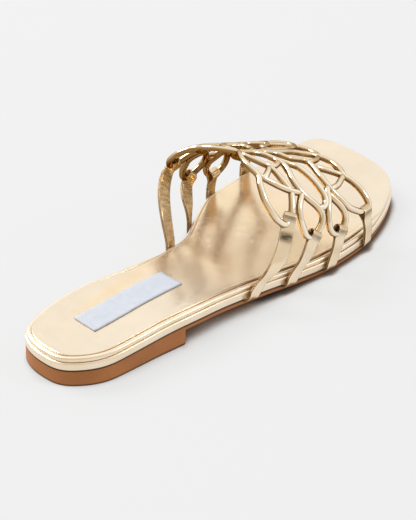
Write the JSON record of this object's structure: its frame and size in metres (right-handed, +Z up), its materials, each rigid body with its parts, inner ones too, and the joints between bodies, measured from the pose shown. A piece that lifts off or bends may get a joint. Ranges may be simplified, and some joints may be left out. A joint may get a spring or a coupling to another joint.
{
  "type": "slide sandal",
  "caption": "Women's flat slide sandal, right shoe, with an openwork net of leather cords over the forefoot, a padded insole and a low stacked heel.",
  "frame": {"origin": "middle of the bounding box, on the floor", "axes": "+Y towards the toe, +X towards the outer side of the right foot, +Z up"},
  "size_m": [0.0898, 0.2478, 0.0636],
  "materials": {
    "gold_leather": "metallic foil",
    "gold_sock": "metallic foil, softer",
    "tan_sole": "smooth stained edge",
    "tan_heel": "smooth stained edge",
    "label_cloth": "matt"
  },
  "bodies": {
    "root": {"heel_lift": "tan_heel", "outsole": "tan_sole", "midsole": "gold_leather", "footbed": "gold_leather", "insole": "gold_sock", "heel_label": "label_cloth", "upper": "gold_leather"}
  },
  "joints": []
}
